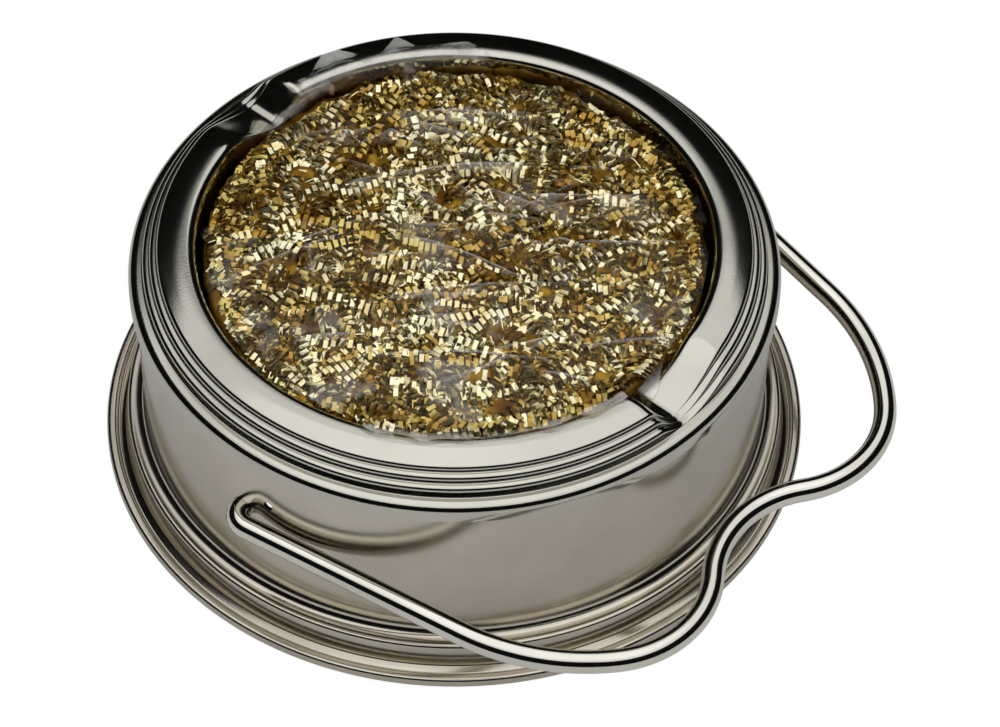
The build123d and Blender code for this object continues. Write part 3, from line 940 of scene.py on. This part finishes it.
def film_folds(x, y):
    """The film's main folds in a row, and many lower ones between them that lie mostly the same way."""
    folds = []
    for index in range(FOLD_COUNT):
        heading = FOLD_HEADING + FOLD_SWING * math.sin(FOLD_SWING_STEP * index)
        across_at = (index - (FOLD_COUNT - 1) / 2) * FOLD_SPACING
        half_length, half_width = FOLD_LENGTH / 2, FOLD_HALF_WIDTH / 2
        folds.append(film_fold(x, y, heading, 0.0, across_at, half_length, half_width, FOLD_RISE, 0.0))
    draws = np.random.default_rng(CREASE_SEED)
    for _ in range(CREASE_COUNT):
        heading = draws.normal(FOLD_HEADING, CREASE_SPREAD)
        along_at, across_at = draws.uniform(*CREASE_PLACES, 2) * MM
        half_length = draws.uniform(*CREASE_HALF_LENGTHS) * MM
        half_width = draws.uniform(*CREASE_HALF_WIDTHS) * MM
        rise = draws.uniform(*CREASE_RISES) * MM
        bow = draws.uniform(*CREASE_BOWS)
        folds.append(film_fold(x, y, heading, along_at, across_at, half_length, half_width, rise, bow))
    height = sum(fold for fold, _ in folds)
    return height, np.maximum.reduce([crest for _, crest in folds])


def film_material():
    """Clear film: a faint mirror that grows towards grazing, with milky patches that also carry a painted
    sheen, a painted highlight along the fold crests, and fine scuffs.
    """
    material, graph, shader = new_material("clear_film")
    marks = surface_marks(graph, FILM_CLOUD_SIZE, FILM_GRAIN_SIZE)
    milk_and_sheen = graph.ramp(marks["Cloud"], *MILK_AND_SHEEN_EDGES)
    edge = graph.made("ShaderNodeFresnel", {"IOR": FILM_IOR})
    # The crest mask paints a highlight: it raises the reflection along crests whatever the light
    crest = graph.node("ShaderNodeAttribute", attribute_name="crest").outputs["Fac"]
    shares = ((edge, EDGE_VEIL), (milk_and_sheen, PAINTED_SHEEN_VEIL), (crest, PAINTED_CREST_GLINT))
    veil = graph.add(*[graph.times(mask, share) for mask, share in shares])
    graph.feed(shader.inputs["Alpha"], graph.math("MINIMUM", veil, MOST_VEIL))
    graph.feed(shader.inputs["Roughness"], graph.ramp(milk_and_sheen, 0, 1, 0.1, 0.3))
    graph.feed(shader.inputs["Base Color"], graph.blend(milk_and_sheen, FILM_CLEAR, FILM_MILKY))
    roughen(graph, shader, marks["Grain"], FILM_GRAIN_DEPTH)
    shader.inputs["Metallic"].default_value = 1.0
    return material


def make_film():
    """The pouch's upper sheet, from the middle of the wool to its edge in the mouth and on the rim."""
    bearings = np.arange(FILM_SPOKES) * 360.0 / FILM_SPOKES
    a = np.radians(bearings)
    reach = film_reach(bearings)
    lift = smooth_step(reach, 0.0, LIFTED_REACH)
    ragged = np.array([
        noise.noise(Vector((math.cos(t) * RAGGED_SCALE, math.sin(t) * RAGGED_SCALE, 4.0))) for t in a])
    edge_r = mouth_r - EDGE_INSET * (1 - lift) + reach + (LEAST_RAGGED + lift) * EDGE_RAGGED * ragged
    share = np.linspace(0.0, 1.0, FILM_RINGS + 1)[1:, None]
    r = edge_r * share**RING_CROWDING
    x, y = r * np.cos(a), r * np.sin(a)
    beyond = r - mouth_r
    loose = LOOSE_SLOPE * np.maximum(beyond - LOOSE_START, 0.0)
    rising = smooth_step(beyond, RISE_START, RISE_END) * lift
    z = wool_top(r) + FILM_GAP
    z = z + (crest_z + FILM_GAP + loose - z) * rising
    z = np.where(beyond > RIM_START, np.minimum(z, rest_level(x, y) + FILM_GAP + loose), z)
    crumple = np.array([noise.turbulence(Vector((px * CRUMPLE_SCALE, py * CRUMPLE_SCALE, 1.0)), 3, False)
                        for px, py in zip(x.ravel(), y.ravel())]).reshape(x.shape)
    pleats = np.sin(a * PLEAT_COUNT + 3 * ragged) * smooth_step(beyond, PLEAT_START, 0.0) * lift
    folds, crest = film_folds(x, y)
    # Film bunched at the rim joins the crest mask, so it carries the painted highlight too
    bunched = rising * smooth_step(beyond, BUNCH_START, BUNCH_END)
    crest = np.maximum(crest, bunched * (0.6 + 0.5 * ragged))
    z = z + folds * (1 - 0.8 * rising) + CRUMPLE_RISE * crumple + PLEAT_RISE * (1 + pleats) * lift
    points = [(0.0, 0.0, float(z[0].mean())), *zip(x.ravel(), y.ravel(), z.ravel())]
    piece = new_piece("film_cover", points, faces=disc_faces(FILM_RINGS, FILM_SPOKES))
    crest_glints = piece.data.attributes.new("crest", "FLOAT", "POINT")
    crest_glints.data.foreach_set("value", [0.0, *crest.ravel()])
    piece.data.materials.append(film_material())
    piece.data.shade_smooth()
    finish_piece(piece, "base", "clear_film", "film_pouch")


# Stage
VIEW_AZIMUTH = math.radians(39.5)
VIEW_ELEVATION = math.radians(48.4)
VIEW_ROLL = math.radians(0.888)
VIEW_DISTANCE = 569.31 * MM
VIEW_OFFSET = (-5.7745 * MM, -5.748 * MM)
LENS = 162.0
SENSOR_WIDTH = 36.0
WHITE = (1.0, 1.0, 1.0, 1.0)
WORLD_LIGHT = 0.1
FLAG_TINT = (0.012, 0.012, 0.012, 1)
FLAG_DISTANCE = 2.5
FLAG_COLUMNS = 200
FLAG_ROWS = 40
FLAG_STEP_WIDTH = 4.0
LAMP_DISTANCE = 0.9
FLOOR_HALF_WIDTH = 3.0
FLOOR_Z = -0.02 * MM
FLOOR_TINT = (0.9, 0.9, 0.895, 1)
FLOOR_GLOW = 1.06
FLOOR_GLOW_SHARE = 0.9


def make_camera():
    turn = Matrix.Rotation(VIEW_AZIMUTH, 3, "Z")
    back = turn @ Vector((0, -math.cos(VIEW_ELEVATION), math.sin(VIEW_ELEVATION)))
    right = turn @ Vector((1, 0, 0))
    up = back.cross(right)
    tilted_right = math.cos(VIEW_ROLL) * right + math.sin(VIEW_ROLL) * up
    tilted_up = back.cross(tilted_right)
    place = back * VIEW_DISTANCE - tilted_right * VIEW_OFFSET[0] - tilted_up * VIEW_OFFSET[1]
    place.z += CHANNEL_Z
    camera = new_object("camera", bpy.data.cameras.new("camera"))
    camera.data.lens = LENS
    camera.data.sensor_width = SENSOR_WIDTH
    camera.data.clip_start = 0.01
    camera.data.clip_end = 20.0
    axes = Matrix((tilted_right, tilted_up, back)).transposed().to_4x4()
    camera.matrix_world = Matrix.Translation(place) @ axes
    bpy.context.scene.camera = camera


def toward(azimuth, elevation):
    """Direction from the part in degrees, with azimuth 0 away from the camera and positive to its right."""
    a, e = math.radians(azimuth), math.radians(elevation)
    flat = Vector((math.sin(a) * math.cos(e), math.cos(a) * math.cos(e), math.sin(e)))
    return Matrix.Rotation(VIEW_AZIMUTH, 3, "Z") @ flat


def make_flag(name, azimuths, elevations, softness, step_down):
    """A curved black card with soft edges that shows only in reflections.

    All its measures are in degrees. It is higher on the left and lower on the right by its step down.
    """
    material, graph, shader = new_material(name)
    shader.inputs["Base Color"].default_value = FLAG_TINT
    shader.inputs["Roughness"].default_value = 0.9
    cover = graph.node("ShaderNodeAttribute", attribute_name="cover").outputs["Fac"]
    graph.feed(shader.inputs["Alpha"], cover)
    points, covers = [], []
    for azimuth in np.linspace(*azimuths, FLAG_COLUMNS + 1):
        lower = step_down * math.tanh(azimuth / FLAG_STEP_WIDTH)
        for elevation in np.linspace(*elevations, FLAG_ROWS + 1):
            points.append(toward(azimuth, elevation - lower) * FLAG_DISTANCE)
            inside = min(azimuth - azimuths[0], azimuths[1] - azimuth,
                         elevation - elevations[0], elevations[1] - elevation)
            covers.append(float(smooth_step(inside, 0.0, softness)))
    step = FLAG_ROWS + 1
    corners = [column * step + row for column in range(FLAG_COLUMNS) for row in range(FLAG_ROWS)]
    flag = new_piece(name, points, faces=[(c, c + step, c + step + 1, c + 1) for c in corners])
    flag.data.attributes.new("cover", "FLOAT", "POINT").data.foreach_set("value", covers)
    flag.data.materials.append(material)
    flag.visible_camera = False
    flag.visible_diffuse = False
    flag.visible_shadow = False


def make_world():
    """A white world that camera, glossy and transmission rays see whole, and that lights things faintly."""
    world = bpy.data.worlds.new("studio")
    world.use_nodes = True
    bpy.context.scene.world = world
    graph = Graph(world.node_tree)
    path = graph.node("ShaderNodeLightPath").outputs
    seen = graph.math("MAXIMUM", path["Is Camera Ray"], path["Is Glossy Ray"])
    seen = graph.math("MAXIMUM", seen, path["Is Transmission Ray"])
    background = world.node_tree.nodes["Background"]
    background.inputs["Color"].default_value = WHITE
    graph.feed(background.inputs["Strength"], graph.ramp(seen, 0, 1, WORLD_LIGHT, 1.0))


def make_floor():
    """A pale floor that glows for the camera, so that it goes white and keeps a faint shadow."""
    half = FLOOR_HALF_WIDTH
    corners = [(-half, -half), (half, -half), (half, half), (-half, half)]
    floor = new_piece("floor", [(x, y, FLOOR_Z) for x, y in corners], faces=[(0, 1, 2, 3)])
    material, graph, shader = new_material("pale_floor")
    shader.inputs["Base Color"].default_value = FLOOR_TINT
    shader.inputs["Roughness"].default_value = 0.85
    shader.inputs["Specular IOR Level"].default_value = 0.1
    glow = graph.made("ShaderNodeEmission", {"Color": WHITE, "Strength": FLOOR_GLOW})
    path = graph.node("ShaderNodeLightPath").outputs
    share = graph.times(path["Is Camera Ray"], FLOOR_GLOW_SHARE)
    mixed = graph.made("ShaderNodeMixShader", {0: share, 1: shader.outputs[0], 2: glow})
    graph.feed(material.node_tree.nodes["Material Output"].inputs["Surface"], mixed)
    floor.data.materials.append(material)


def make_softbox(name, azimuth, elevation, diameter, radiance, mirrored):
    """A round lamp of a given radiance that faces the part, and shows in reflections if it is mirrored."""
    light = bpy.data.lights.new(name, "AREA")
    light.shape = "DISK"
    light.size = diameter
    light.energy = radiance * math.pi * diameter**2
    lamp = new_object(name, light)
    lamp.visible_glossy = mirrored
    direction = toward(azimuth, elevation)
    turn = direction.to_track_quat("Z", "Y").to_matrix().to_4x4()
    lamp.matrix_world = Matrix.Translation(direction * LAMP_DISTANCE) @ turn


make_holder()
make_bowl()
make_bail()
make_core()
make_strands()
make_film()
make_camera()
make_world()
make_floor()
make_flag("flag_room", azimuths=(-200, 200), elevations=(-20, 48.5), softness=4.0, step_down=1.2)
make_softbox("softbox_glow", 0, 90, diameter=1.0, radiance=0.22, mirrored=True)
make_softbox("softbox_top", 0, 90, diameter=1.15, radiance=1.15, mirrored=False)
make_softbox("softbox_left", -125, 38, diameter=0.6, radiance=1.45, mirrored=False)
make_softbox("softbox_right", 125, 40, diameter=0.6, radiance=1.6, mirrored=False)

bpy.context.scene.view_settings.view_transform = "Standard"
